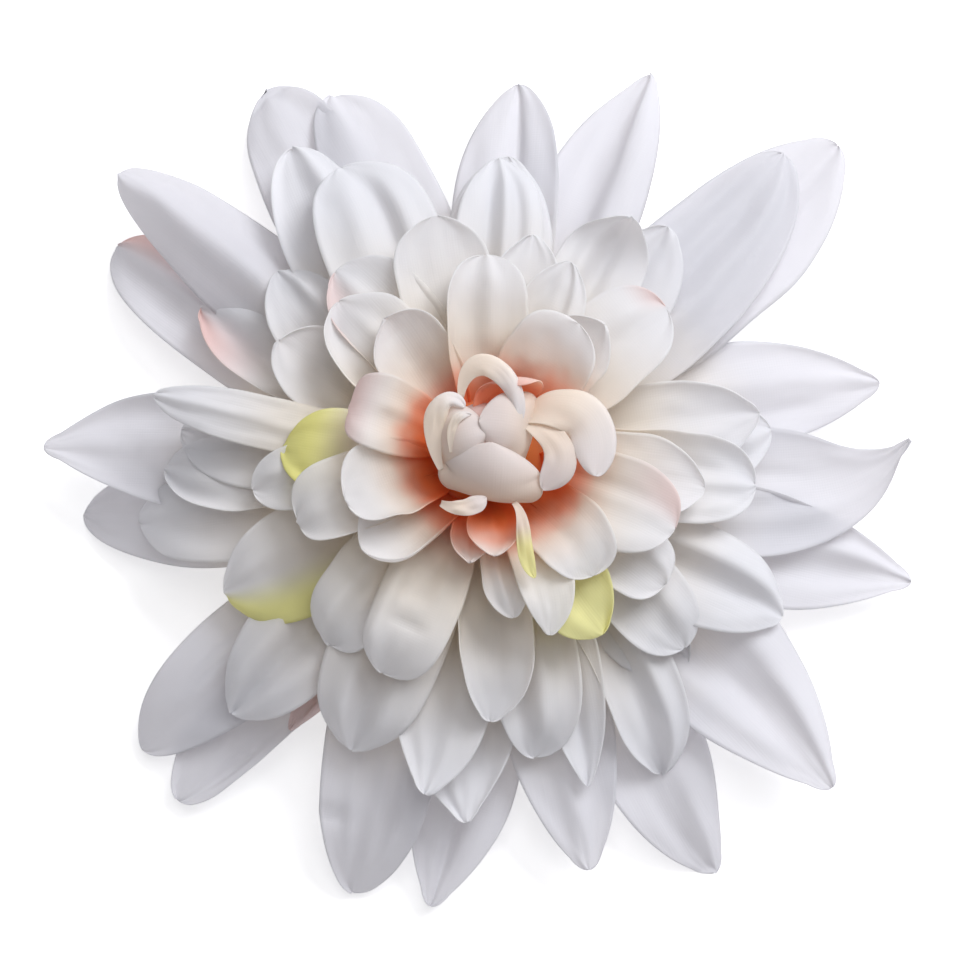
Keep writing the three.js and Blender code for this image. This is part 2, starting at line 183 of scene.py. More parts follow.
RINGS["inner_middle"] = Ring(root_radius=7.5, root_height=26, rise=64, foot=0.36, widest=0.64, petals=[
    (126, 26, 15, 38.5, 58, 44, 0, 0, 0.5, 4, -0.4),
    (89, 32, 15, 38.5, 30, 36, 0, 0, 0.52, 6, 0.4),
    (47, 29, 13, 37.5, 30, 30, 0, 0, 0.67, 6, -0.8),
    (53, 25, 16, 40.5, 34, 34, 0, 0, 0.52, 8, 0.8),
    (-22, 34, 16, 36.5, 10, 34, 0, 0, 0.5, 6, -0.6),
    (-48, 28, 13, 38.5, 10, 28, 0, 1, 0.5, 6, 0.6),
    (-69, 33, 10, 36.5, -2, 34, 0, 2, 0.75, 8, -0.6),
    (-160, 33, 15, 36, 6, 32, 0, 0, 0.52, 6, -1),
])
RINGS["inner_high"] = Ring(root_radius=7, root_height=29, rise=66, foot=0.38, widest=0.66, petals=[
    (-140, 26, 14, 38, 20, 44, 0, 2, 0.55, 6, -0.8),
    (-158, 24, 15, 41, 20, 30, 0, 0, 0.55, 6, 1.2),
    (163, 23, 13, 43, 26, 34, 0, 0, 0.5, 6, 1.2),
    (-97, 20, 8, 38, 20, 40, 0, 0, 0.75, 8, -0.8),
    (-83, 19, 10, 40, 20, 40, 0, 0, 0.67, 8, 0.4),
])
print("inner petals:", petal_count("inner_low", "inner_middle", "inner_high"))

# %% [markdown]
# ## The line down the middle of a petal
# Everything about a petal hangs on one curve from its root to its tip. A cubic Bezier curve suits it: two
# end points, and two handles that say in which direction the petal leaves its root and arrives at its tip.
# It is worked out as if the petal pointed along X, and turned to its place afterwards.

# %% The line down the middle of a petal
LINE_HOLD = 0.36


def along_angle(angle, length):
    return Vector((length * cos(radians(angle)), 0, length * sin(radians(angle))))


def middle_line(ring, petal):
    root = Vector((ring.root_radius, 0, ring.root_height + petal.step))
    tip = Vector((petal.reach, 0, petal.height))
    hold = LINE_HOLD * hypot(tip.x - root.x, tip.z - root.z)
    leaving = root + along_angle(ring.rise, hold)
    arriving = tip - along_angle(petal.slope, hold)
    leaving.y = arriving.y = petal.bow * 4 / 3
    return root, leaving, arriving, tip


def point_on(line, along):
    a, b, c, d = line
    left = 1 - along
    return a * left**3 + b * (3 * left**2 * along) + c * (3 * left * along**2) + d * along**3


def direction_on(line, along):
    a, b, c, d = line
    left = 1 - along
    return ((b - a) * left**2 + (c - b) * (2 * left * along) + (d - c) * along**2).normalized()


first_ring = RINGS["outer_low"]
first_petal = Petal(*first_ring.petals[0])
halfway = point_on(middle_line(first_ring, first_petal), 0.5)
print("halfway along the first petal:", [round(x, 1) for x in halfway])

# %% [markdown]
# ## The outline of a petal
# A petal starts narrow at its foot, swells to its widest place and closes towards its tip. A sine gives the
# swell and a power gives the tip: a roundness of a half makes it round like an ellipse, and more makes it
# pointed, with only its last bit rounded off. The plain model uses the same outline, so the finer petals
# fall in its places, though their tips are softer.

# %% The outline of a petal
SWELL_POWER = 1.1
ROUND_TIP = 0.5
TIP_SHARE = 0.04
TIP_ROUNDING = 0.1
LAST_SHARE = 0.001
PLAIN_FULLNESS = 2


def smooth(low, high, x):
    share = min(max((x - low) / (high - low), 0), 1)
    return share * share * (3 - 2 * share)


def half_width(ring, petal, along, fullness):
    if along < ring.widest:
        swell = sin(pi / 2 * along / ring.widest) ** SWELL_POWER
        return petal.width / 2 * (ring.foot + (1 - ring.foot) * swell)
    past = (along - ring.widest) / (1 - ring.widest)
    closing = (1 - past**fullness) ** petal.roundness
    if petal.roundness > ROUND_TIP:
        closing *= max(min((1 - past) / TIP_ROUNDING, 1), LAST_SHARE) ** (ROUND_TIP - petal.roundness)
    return petal.width / 2 * max(closing, TIP_SHARE)


widths = [half_width(first_ring, first_petal, tenth / 10, PLAIN_FULLNESS) for tenth in range(11)]
print("half widths of the first petal, from foot to tip:", [round(width, 1) for width in widths])

# %% [markdown]
# ## The hollow of a petal
# A petal's section is an arc like a spoon's, tight at the foot and open further out. A soft rib runs down
# its middle, and sharpens where the tip is pinched. An angle describes it better than a depth, because a
# wide petal and a narrow one then curve alike: each rim is turned up by the angle, and the middle lies
# level.

# %% The hollow of a petal
HOLLOW_END = 0.6
FOOT_HOLLOW = 1.5
MOST_HOLLOW = 70
ARCHED_FOOT = 20
TIP_OPENING = 0.2
RIB_FOLD = 1.5
PINCH_START = 0.7
PINCH_POWER = 1.5
PINCH_SHARE = 0.12


def hollow(cup, along):
    foot = min(cup * FOOT_HOLLOW, MOST_HOLLOW) if cup > 0 else ARCHED_FOOT
    towards_tip = max((along - HOLLOW_END) / (1 - HOLLOW_END), 0)
    return radians(foot + (cup - foot) * min(along / HOLLOW_END, 1) - TIP_OPENING * cup * towards_tip)


def rib(pinch, along):
    pinched = max((along - PINCH_START) / (1 - PINCH_START), 0) ** PINCH_POWER
    return radians(RIB_FOLD + (pinch * PINCH_SHARE - RIB_FOLD) * pinched)


turns = [degrees(hollow(first_petal.cup, tenth / 10)) for tenth in range(11)]
print("the first petal's rims turn up by these degrees, from foot to tip:", [round(turn) for turn in turns])

# %% [markdown]
# ## What makes a petal look soft
# A petal looks soft by everything that isn't its plain form: lengthwise folds that catch the light, rims
# that curl up or under, a tip that bends or sweeps aside, small dents, and an outline that wavers. A
# sculptor would push these in by hand. Here each is a number, so that it can be changed without
# remodelling. A look holds them all, with the petal's tints.

# %% What makes a petal look soft
Fold = namedtuple("Fold", "across height width start end")
Dent = namedtuple("Dent", "along across height length breadth")
Look = namedtuple("Look", "folds dents rims curl sweep wave ragged crumple fullness pink lime coral peach")
NO_TINT = (0, 0, 0)
PLAIN = Look(
    folds=(), dents=(), rims=(0, 0), curl=0, sweep=0, wave=0, ragged=0, crumple=0, fullness=PLAIN_FULLNESS,
    pink=NO_TINT, lime=NO_TINT, coral=1, peach=1,
)
print("a look holds:", ", ".join(Look._fields))

# %% [markdown]
# ## A look drawn by chance
# No two petals crease alike, and nobody would choose every crease by hand. So whatever a petal's own touch
# leaves open comes from a random draw between two limits. Each draw starts from the petal's own seed, which
# makes it come out the same each time. Bigger petals have bigger folds, so their size scales them.

# %% A look drawn by chance
FOLD_COUNT = 3
FOLD_PLACES = (-0.7, 0.7)
FOLD_HEIGHTS = (-0.9, 0.9)
FOLD_WIDTHS = (0.16, 0.34)
FOLD_STARTS = (0.05, 0.4)
FOLD_ENDS = (0.75, 1.2)
RIM_TURNS = (-30, 50)
TIP_CURLS = (-35, 20)
TIP_SWEEPS = (-12, 12)
WAVES = (0.1, 0.5)
RAGGEDNESS = (0.02, 0.08)
FULLNESS = (2, 3)
CRUMPLE = 0.22


def drawn_fold(draw, size):
    return Fold(
        across=draw.uniform(*FOLD_PLACES),
        height=size * draw.uniform(*FOLD_HEIGHTS),
        width=draw.uniform(*FOLD_WIDTHS),
        start=draw.uniform(*FOLD_STARTS),
        end=draw.uniform(*FOLD_ENDS),
    )


def drawn_look(draw, size, touch):
    """The look of one petal: drawn by chance, except for what its own touch gives."""
    look = PLAIN._replace(
        folds=[drawn_fold(draw, size) for _ in range(FOLD_COUNT)],
        rims=(draw.uniform(*RIM_TURNS), draw.uniform(*RIM_TURNS)),
        curl=draw.uniform(*TIP_CURLS),
        sweep=draw.uniform(*TIP_SWEEPS),
        wave=size * draw.uniform(*WAVES),
        ragged=draw.uniform(*RAGGEDNESS),
        crumple=CRUMPLE * size,
        fullness=draw.uniform(*FULLNESS),
    )
    return look._replace(**touch)


print("folds drawn for each petal:", FOLD_COUNT)

# %% [markdown]
# ## How far a petal's surface stands out
# Folds and dents are low waves along the petal's own normal, so they bend with it. A fold is a bell-shaped
# ridge that runs lengthwise and dies out at both its ends, a dent is a bell in both directions, and the
# rims ripple. Two layers of smooth noise, a broad one and a finer one, take away what would still look
# drawn by a machine.

# %% How far a petal's surface stands out
FOLD_DEPTH = 1.4
FOLD_RUN_OUT = 0.22
FOLD_FADE = 0.7
FADE_START = 0.84
WAVE_TURNS = 1.7
WAVE_SHIFT = 0.37
WAVE_RISE = (0.2, 0.5)
UNEVENNESS = 0.5
UNEVEN_PACE = (3, 1.3, 3.7)
UNEVEN_RISE = (0.15, 0.5)
CRUMPLE_PACE = (9, 3.2, 5.3)
CRUMPLE_RISE = (0.1, 0.4)


def grown_noise(pace, along, across, seed):
    """Smooth noise that changes at its own pace along a petal, across it and from petal to petal."""
    return noise.noise(Vector((pace[0] * along, pace[1] * across, pace[2] * seed)))


def lift_at(look, seed, along, across):
    """How far the surface stands out from the plain petal, in millimetres."""
    height = 0
    for fold in map(Fold._make, look.folds):
        ends = smooth(fold.start, fold.start + FOLD_RUN_OUT, along)
        ends *= 1 - smooth(fold.end - FOLD_RUN_OUT, fold.end, along)
        ends *= 1 - FOLD_FADE * smooth(FADE_START, 1, along)
        height += FOLD_DEPTH * fold.height * ends * exp(-(((across - fold.across) / fold.width) ** 2))
    for dent in map(Dent._make, look.dents):
        away = ((along - dent.along) / dent.length) ** 2 + ((across - dent.across) / dent.breadth) ** 2
        height += dent.height * exp(-away)
    turns = 2 * pi * (WAVE_TURNS * along + WAVE_SHIFT * seed) + pi * max(across, 0)
    height += look.wave * across * across * sin(turns) * smooth(*WAVE_RISE, along)
    height += UNEVENNESS * grown_noise(UNEVEN_PACE, along, across, seed) * smooth(*UNEVEN_RISE, along)
    height += look.crumple * grown_noise(CRUMPLE_PACE, along, across, seed) * smooth(*CRUMPLE_RISE, along)
    return height


print("a plain petal is lifted by", round(lift_at(PLAIN, 1, 0.5, 0), 2), "mm in its middle")

# %% [markdown]
# ## Touches for the outer petals
# Chance alone wouldn't give a petal the roof-like fold, the rim that rolls under or the blush of pink that
# the real one has. A touch gives it: it is found by the petal's ring and turn, and sets only what it lists.
# The numbers of a fold and a dent are those of Fold and Dent above: places are shares of the petal's length
# and half width. A tint is how strong it is, the side that it lies on (1 is anticlockwise, -1 clockwise, 0
# both), and where along the petal it begins. Rims are the clockwise and the anticlockwise one.

# %% Touches for the outer petals
TOUCHES = {}
TOUCHES["outer_low"] = {
    68: dict(
        folds=[(-0.5, 1.8, 0.34, 0.15, 1.2), (0.1, -0.7, 0.4, 0.2, 1.2)],
        rims=(-50, 0), curl=0, sweep=0, fullness=2.2,
    ),
    44: dict(folds=[(0, -0.8, 0.3, 0.5, 1.2)], rims=(-20, -20), curl=10, ragged=0.1, fullness=3.4),
    14: dict(
        folds=[(0.2, 0.9, 0.4, 0.2, 1.2), (-0.4, -0.5, 0.2, 0.2, 0.9)],
        curl=10, sweep=0, fullness=2.2,
    ),
    -13: dict(
        folds=[(0.35, 1.2, 0.3, 0.3, 1.2), (-0.2, -0.6, 0.25, 0.2, 1)],
        rims=(0, 35), curl=0, sweep=-2, fullness=2,
    ),
    -61: dict(folds=[(0.3, 0.9, 0.4, 0.4, 1.2)], rims=(-15, -30), curl=-20, sweep=11, fullness=2),
    -97: dict(folds=[(0.05, -1.4, 0.16, 0.4, 1.2), (0.5, 0.4, 0.3, 0.2, 1)], sweep=0, fullness=2),
    -134: dict(folds=[(0.5, -1.2, 0.16, 0.6, 1.2)], rims=(0, 40), curl=0, fullness=2.4),
    146: dict(rims=(0, -20), curl=-20, sweep=0, fullness=2.6, pink=(0.7, -1, 0.3)),
    118: dict(folds=[(0.1, 1.1, 0.4, 0.3, 1.2)], rims=(0, -20), curl=-30, sweep=0, fullness=2.4),
}
TOUCHES["outer_high"] = {
    46: dict(
        folds=[(-0.3, 0.9, 0.2, 0.1, 1.2), (0.1, -0.5, 0.14, 0.1, 1), (0.6, -0.9, 0.2, 0.3, 1)],
        rims=(10, -20), curl=0, sweep=10,
    ),
    1: dict(
        folds=[(0.3, -0.5, 0.1, 0.3, 0.8), (0, 0.5, 0.12, 0.2, 0.8), (-0.4, 0.6, 0.2, 0.2, 0.9)],
        rims=(15, 0), curl=20, sweep=24, fullness=2,
    ),
    -42: dict(
        folds=[(0.5, 1.5, 0.24, 0.15, 1.2), (-0.05, -0.8, 0.18, 0.2, 0.9), (-0.5, 0.7, 0.2, 0.2, 1)],
        rims=(0, -30), curl=0, sweep=0, fullness=2,
    ),
    -75: dict(folds=[(0, 0.8, 0.3, 0.4, 1.2)], rims=(0, 0), curl=0, sweep=0, fullness=2),
    -106: dict(
        folds=[(-0.4, 0.5, 0.12, 0.3, 1), (0.1, 0.7, 0.16, 0.2, 1), (0.5, 0.6, 0.12, 0.3, 1)],
        dents=[(0.8, -0.75, -1.1, 0.02, 0.4)], rims=(0, 10), curl=-30, sweep=-8, fullness=2.1,
    ),
    -142: dict(
        folds=[(-0.1, 1.1, 0.14, 0.35, 0.9), (-0.35, 0.9, 0.1, 0.45, 0.85), (0.4, -0.7, 0.3, 0.1, 1)],
        rims=(-20, -20), curl=-30, sweep=0, fullness=2.2,
    ),
    176: dict(
        folds=[(-0.1, 0.8, 0.3, 0.3, 1.2)],
        dents=[(0.62, 0.3, -0.6, 0.07, 0.3)], curl=0, sweep=0, fullness=2,
    ),
    139: dict(folds=[(0.05, 3, 0.42, 0.15, 1.2)], rims=(-30, -20), curl=0, sweep=6, fullness=1.8),
    111: dict(folds=[(0.2, 1, 0.4, 0.4, 1.2)], rims=(-20, -20), curl=-30, sweep=0, fullness=2.4),
    85: dict(
        folds=[(-0.1, -1.1, 0.14, 0.55, 1.2), (0.4, 0.6, 0.3, 0.3, 1.2)],
        curl=-10, sweep=0, fullness=2.4,
    ),
}
print("outer petals with a touch of their own:", len(TOUCHES["outer_low"]) + len(TOUCHES["outer_high"]))

# %% [markdown]
# ## Touches for the middle petals
# The middle petals show their tips most, and these differ most: one curls up like a fingertip, one is lime,
# one has a deep crease across. A fullness over 3 makes the outline square-shouldered, as a cut piece of
# cloth is.

# %% Touches for the middle petals
TOUCHES["middle_low"] = {
    120: dict(folds=[(-0.45, 1.4, 0.3, 0.2, 1.2)], rims=(0, 10), curl=-10, sweep=0, fullness=2.6),
    86: dict(folds=[(-0.4, 0.8, 0.2, 0.2, 1.2)], rims=(-30, -10), fullness=3.4),
    -25: dict(
        folds=[(0.5, 1.4, 0.25, 0.3, 1.1), (0, -0.9, 0.3, 0.2, 1)],
        rims=(-10, -20), curl=-25, sweep=-8, fullness=3,
    ),
    -45: dict(folds=[(0.45, 0.9, 0.2, 0.4, 1.1)], curl=-20, fullness=2.8),
    -58: dict(folds=[(0.45, 1.4, 0.24, 0.2, 1.2), (-0.1, -0.7, 0.2, 0.2, 1)], curl=-30, fullness=3),
    -79: dict(folds=[(0.15, 1.5, 0.26, 0.35, 1), (-0.45, -0.9, 0.2, 0.2, 1)], curl=-30, fullness=2.6),
    -94: dict(folds=[(-0.3, 0.7, 0.2, 0.2, 1.1), (0.5, -0.5, 0.2, 0.2, 1)], sweep=10, ragged=0.1),
    -99: dict(
        folds=[(-0.4, 0.5, 0.2, 0.2, 1.1), (0.3, 0.5, 0.2, 0.2, 1.2)],
        rims=(0, 0), curl=8, sweep=-6, ragged=0.1,
    ),
    -136: dict(
        folds=[(-0.45, 1.3, 0.26, 0.2, 1.2), (0, -0.9, 0.2, 0.3, 1.2), (0.5, 0.8, 0.24, 0.3, 1.2)],
        rims=(-20, -20), curl=-30, fullness=2.8,
    ),
    -128: dict(pink=(0.6, 0, 0.2)),
    -172: dict(folds=[(-0.4, 0.9, 0.3, 0.3, 1.2)], rims=(-20, -20), curl=-40, fullness=3),
    148: dict(
        folds=[(-0.3, 1, 0.3, 0.4, 1.2), (0.3, -0.6, 0.2, 0.2, 1)],
        curl=-20, fullness=3, pink=(0.9, 1, 0.6),
    ),
}
TOUCHES["middle_high"] = {
    112: dict(
        folds=[(0.3, 1.2, 0.3, 0.45, 1.2), (-0.2, -0.7, 0.16, 0.4, 1), (-0.5, 0.9, 0.18, 0.3, 1)],
        rims=(-30, -10), curl=-30, sweep=20, fullness=3.4,
    ),
    86: dict(
        folds=[(-0.15, 1, 0.18, 0.3, 1.2), (0.25, -0.8, 0.14, 0.3, 1), (-0.7, 0.6, 0.16, 0.3, 1)],
        rims=(-30, -30), curl=-30, fullness=3.4,
    ),
    60: dict(
        folds=[(0, -1.1, 0.2, 0.4, 1.2), (0.5, 0.9, 0.2, 0.3, 1.2)],
        curl=60, ragged=0.12, fullness=3.4,
    ),
    136: dict(folds=[(-0.4, 1.3, 0.24, 0.3, 1.2)], curl=-30, fullness=3),
    150: dict(rims=(20, 20), curl=30, fullness=3.4),
    168: dict(folds=[(0, 0.8, 0.4, 0.2, 1.2)], rims=(-30, -30), curl=-20, fullness=2.8),
    -5: dict(curl=-20, fullness=2.8),
    -43: dict(folds=[(0.4, 1, 0.3, 0.3, 1.2)], rims=(0, -20), curl=-20, fullness=3.4),
    -72: dict(folds=[(0, -0.5, 0.3, 0.2, 1.1)], rims=(20, 20), curl=0, sweep=0, fullness=2),
    -88: dict(
        folds=[(0.4, 0.8, 0.26, 0.3, 0.9)],
        dents=[(0.66, 0, -1.4, 0.1, 0.5)], rims=(50, 30), curl=-20, fullness=2.4,
    ),
    -115: dict(
        folds=[(-0.45, 1.2, 0.22, 0.25, 1.2), (0, -1, 0.2, 0.3, 1.2), (0.5, 1, 0.26, 0.3, 1.2)],
        rims=(-20, -20), curl=-30, fullness=3,
    ),
    -152: dict(
        folds=[(-0.4, 1, 0.3, 0.3, 1.2)],
        dents=[(0.5, 0.2, -1, 0.14, 0.3)], rims=(10, -40), curl=-20, fullness=2.8, lime=(0.9, 1, 0.35),
    ),
    174: dict(folds=[(-0.5, 0.8, 0.2, 0.3, 1.2)], curl=-25, fullness=3.2),
    -179: dict(folds=[(0.2, 0.8, 0.3, 0.4, 1.2)], curl=-30, fullness=3.4),
}
print("middle petals with a touch of their own:", len(TOUCHES["middle_low"]) + len(TOUCHES["middle_high"]))

# %% [markdown]
# ## Touches for the inner petals
# Near the bud the petals are small and smooth, and curl down at their tips. Two of them are lime, and some
# blush.

# %% Touches for the inner petals
TOUCHES["inner_low"] = {
    127: dict(curl=-20, sweep=8, fullness=3.4, pink=(0.5, 1, 0.5)),
    134: dict(rims=(-20, 30), curl=-20, fullness=3),
    102: dict(folds=(), rims=(0, 0), curl=20, fullness=4),
    41: dict(folds=[(0.4, 0.6, 0.3, 0.3, 1)], rims=(0, 0), curl=-10, fullness=3, pink=(0.6, 1, 0.85)),
    -9: dict(rims=(20, 20), curl=-20, fullness=2.6),
    -35: dict(folds=[(0.4, 0.9, 0.26, 0.4, 1.2)], curl=-20, fullness=5),
    -58: dict(rims=(-20, 30), curl=-20, wave=0.8, ragged=0.14, fullness=2.8, lime=(0.8, 0, 0.3)),
    178: dict(rims=(-30, -30), curl=-50, fullness=2.4, lime=(1, 0, 0.5)),
    -173: dict(folds=[(-0.3, 0.8, 0.3, 0.4, 1.2)], curl=-30, fullness=3.4),
    -131: dict(
        folds=[(-0.3, 1.2, 0.3, 0.3, 1.2), (0.4, -0.9, 0.24, 0.3, 1)],
        rims=(-30, 0), curl=-50, fullness=3.4,
    ),
    -113: dict(
        folds=[(-0.7, 0.9, 0.2, 0.3, 1.2), (0.4, 0.5, 0.2, 0.2, 0.7)],
        dents=[(0.74, 0, -0.55, 0.02, 0.45), (0.66, -0.1, 0.5, 0.04, 0.4)], rims=(-30, -20), curl=-40,
        fullness=3.6,
    ),
}
TOUCHES["inner_middle"] = {
    -22: dict(rims=(-40, 0), fullness=3, pink=(0.5, 1, 0.6)),
    89: dict(folds=[(-0.1, 0.9, 0.3, 0.35, 1.2)], curl=-30, fullness=2.8),
    126: dict(folds=[(0, -0.6, 0.4, 0.3, 1.2)], rims=(10, 10), curl=-20, fullness=3),
    53: dict(rims=(0, -20), curl=-20, fullness=3.2),
    -48: dict(rims=(0, 0), curl=-40, fullness=3),
    -160: dict(folds=[(0, 0.8, 0.3, 0.4, 1.2)], curl=-40, fullness=3),
}
TOUCHES["inner_high"] = {
    # the pink on this curled-down tip is partly its own blush and partly painted shade where the tip bends
    # into shadow
    163: dict(rims=(-20, -30), curl=-80, fullness=3, pink=(0.7, 0, 0.7)),
    -158: dict(folds=(), rims=(0, 40), curl=-20, fullness=3),
    -140: dict(folds=(), rims=(-30, 60), curl=0, fullness=3),
}
print("petals with a touch of their own:", sum(len(touches) for touches in TOUCHES.values()))

# %% [markdown]
# ## Tints that each petal carries
# The colour isn't one flat white. The feet of the petals round the bud glow coral, which fades through
# peach to cream, and the tips are a cooler white. The cream is painted warm shade: it lies over the deep
# middle of the bloom and the lower parts of the petals, and lifts towards their tips. A colour picture
# would tie the petals to a flat layout, so numbers are kept on the mesh itself: each corner stores how
# coral, peach, warm-shaded, pink or lime it is, by its distance from the heart or its place on the petal,
# and the material mixes its colours by them.

# %% Tints that each petal carries
TINTS = ("coral", "peach", "warm_shade", "pink", "lime")
GLOW_MIDDLE = Vector((2.2, -0.6, 37))
CORAL_REACH = (10.5, 18.2)
PEACH_REACH = (11, 23)
# where the painted warm shade lies: round the middle of the bloom, fading outwards
WARM_SHADE_MIDDLE = Vector((-4, -4, 0))
WARM_SHADE_REACH = (22, 56)
WARM_SHADE_WANDER = 3
TIP_COOLNESS = 0.8
COOL_REACH = (0.4, 0.95)
SLOW_WANDER = (1.5, 0.13)
QUICK_WANDER = (0.7, 0.5)
SIDE_EDGE = (-0.1, 0.7)
TINT_LENGTH = 0.35


def side_share(tint, along, across):
    strength, side, start = tint
    sideways = 1 if side == 0 else smooth(*SIDE_EDGE, across * side)
    return strength * sideways * smooth(start, min(start + TINT_LENGTH, 1), along)


def tints_at(look, point, along, across):
    """The five tints at a place, each from 0 to 1, in the order of TINTS."""
    wander = sum(size * noise.noise(point * pace) for size, pace in (SLOW_WANDER, QUICK_WANDER))
    glow = (point - GLOW_MIDDLE).length + wander
    from_middle = (point - WARM_SHADE_MIDDLE).xy.length + WARM_SHADE_WANDER * wander
    return (
        look.coral * (1 - smooth(*CORAL_REACH, glow)),
        look.peach * (1 - smooth(*PEACH_REACH, glow)),
        # painted warm shade: cream over the deep middle of the bloom, lifted towards each petal's tip
        (1 - smooth(*WARM_SHADE_REACH, from_middle)) * (1 - TIP_COOLNESS * smooth(*COOL_REACH, along)),
        side_share(look.pink, along, across),
        side_share(look.lime, along, across),
    )


print("tints:", ", ".join(TINTS))

# %% [markdown]
# ## Stations along a petal
# The middle line is walked from root to tip in short steps. Each stop is a station: a place, and the ways
# that the petal's side and its upper face look there. A curled tip turns the steps themselves, because what
# rolls over has to turn and not only rise. The stations lie closer together towards the tip, where the
# outline bends most.

# %% Stations along a petal
LOWER_ROWS = 0.55
CURL_START = 0.7
ROLL_POWER = 1.2
LEVEL = Vector((0, 1, 0))
UPWARD = Vector((0, 0, 1))
Station = namedtuple("Station", "along travelled centre side up")


def along_at(ring, share):
    """Rows lie evenly up to the widest place, and closer together towards the tip."""
    if share < LOWER_ROWS:
        return ring.widest * share / LOWER_ROWS
    past = (share - LOWER_ROWS) / (1 - LOWER_ROWS)
    return ring.widest + (1 - ring.widest) * sin(pi / 2 * past)


def side_of(forward, level):
    """The petal's side: as near to the given level as its direction allows, or else lying flat."""
    if level:
        return (level - forward * level.dot(forward)).normalized()
    return UPWARD.cross(forward).normalized()


def stations_of(ring, petal, look, rows, line, level):
    """The middle line, station by station, with the tip's own curl."""
    before = centre = line[0]
    travelled = 0
    stations = []
    for row in range(rows + 1):
        along = along_at(ring, row / rows)
        here = point_on(line, along)
        forward = direction_on(line, along)
        side = side_of(forward, level)
        bending = smooth(CURL_START, 1, along)
        bent = Matrix.Rotation(-radians(look.curl) * bending, 3, side)
        bent @= Matrix.Rotation(radians(look.sweep) * bending, 3, forward.cross(side))
        centre = centre + bent @ (here - before)
        travelled += (here - before).length
        before = here
        forward = bent @ forward
        side = bent @ side
        roll = Matrix.Rotation(radians(petal.roll) * along**ROLL_POWER, 3, forward)
        stations.append(Station(along, travelled, centre, roll @ side, roll @ forward.cross(side)))
    return stations


first_line = middle_line(first_ring, first_petal)
first_stations = stations_of(first_ring, first_petal, PLAIN, 10, first_line, LEVEL)
print("the first petal is", round(first_stations[-1].travelled, 1), "mm long along its middle line")

# %% [markdown]
# ## A section across a petal
# At each station the section is walked outward from the middle, a short step at a time, and each step turns
# a little further. That makes the hollow, folds the rib and rolls the rims, and it keeps the petal's width
# whatever the turns are, as cloth does. Its steps waver in length, which makes the outline a little ragged.

# %% A section across a petal
RIM_START = 0.5
RIM_RISE = (0.15, 0.5)
RIB_BREADTH = 0.5
RAG_PACE = (5, 4, 1.9)


def section_turn(petal, along, across, rim):
    turn = hollow(petal.cup, along) * across + rib(petal.pinch, along) * min(across / RIB_BREADTH, 1)
    return turn + radians(rim) * smooth(RIM_START, 1, across) * smooth(*RIM_RISE, along)


def section_of(ring, petal, look, station, seed, half_cells):
    """Places across a station, by cell: a point, the way its upper face looks, and how far out it lies."""
    along = station.along
    half = half_width(ring, petal, along, look.fullness)
    places = {0: (station.centre, station.up, 0)}
    for way, rim in ((-1, look.rims[0]), (1, look.rims[1])):
        waver = 1 + look.ragged * grown_noise(RAG_PACE, along, way, seed)
        step = half * waver / half_cells
        x = z = 0
        for cell in range(1, half_cells + 1):
            turn = section_turn(petal, along, (cell - 0.5) / half_cells, rim)
            x += step * cos(turn)
            z += step * sin(turn)
            turn = section_turn(petal, along, cell / half_cells, rim)
            point = station.centre + station.side * (way * x) + station.up * z
            face = station.up * cos(turn) - station.side * (way * sin(turn))
            places[way * cell] = (point, face, way * step * cell)
    return places


first_section = section_of(first_ring, first_petal, PLAIN, first_stations[5], 1, 6)
print("places across the first petal, halfway along:", len(first_section))

# %% [markdown]
# ## A sheet becomes a petal
# Each petal starts as a flat grid from bmesh's own grid operator, which gives clean rows of cells, and each
# row of the grid is laid on one section. The corners also keep their tints, and how far they are along and
# across the petal, which the material's weave follows.

# %% A sheet becomes a petal
CELLS_ALONG = 56
HALF_CELLS = 13
LOWEST_POINT = 0.15
CLOTH_SHIFT = 31


def new_sheets():
    bm = bmesh.new()
    bm.verts.layers.float_vector.new("cloth")
    for name in TINTS:
        bm.verts.layers.float.new(name)
    return bm


def tint_corner(bm, corner, look, along, across):
    for name, value in zip(TINTS, tints_at(look, corner.co, along, across)):
        corner[bm.verts.layers.float[name]] = value


def add_petal(bm, ring, petal, look, seed, line=None, level=LEVEL, rows=CELLS_ALONG, half_cells=HALF_CELLS):
    turn = Matrix.Rotation(radians(petal.turn), 3, "Z")
    stations = stations_of(ring, petal, look, rows, line or middle_line(ring, petal), level)
    sections = [section_of(ring, petal, look, station, seed, half_cells) for station in stations]
    cloth = bm.verts.layers.float_vector["cloth"]
    sheet = bmesh.ops.create_grid(bm, x_segments=rows, y_segments=2 * half_cells, size=1)["verts"]
    for corner in sheet:
        row = round((corner.co.x + 1) / 2 * rows)
        cell = round(corner.co.y * half_cells)
        along, across = stations[row].along, cell / half_cells
        point, face, out = sections[row][cell]
        point = turn @ (point + face * lift_at(look, seed, along, across))
        point.z = max(point.z, LOWEST_POINT)
        corner.co = point
        corner[cloth] = (out + CLOTH_SHIFT * seed, stations[row].travelled, 0)
        tint_corner(bm, corner, look, along, across)


print("cells in a petal:", CELLS_ALONG * 2 * HALF_CELLS)

# %% [markdown]
# ## From a mesh to a finished piece
# A piece is made real the same way each time: scale it to metres, shade it smoothly, give thin sheets their
# thickness with a Solidify modifier, and hide the plain piece that it stands for. Solidify keeps both faces
# alike and closes the rim, so each petal is a closed thin body and not a paper-thin face.

# %% From a mesh to a finished piece
PETAL_THICKNESS = 0.16


def placed(name, data):
    thing = bpy.data.objects.new(name, data)
    bpy.context.scene.collection.objects.link(thing)
    return thing


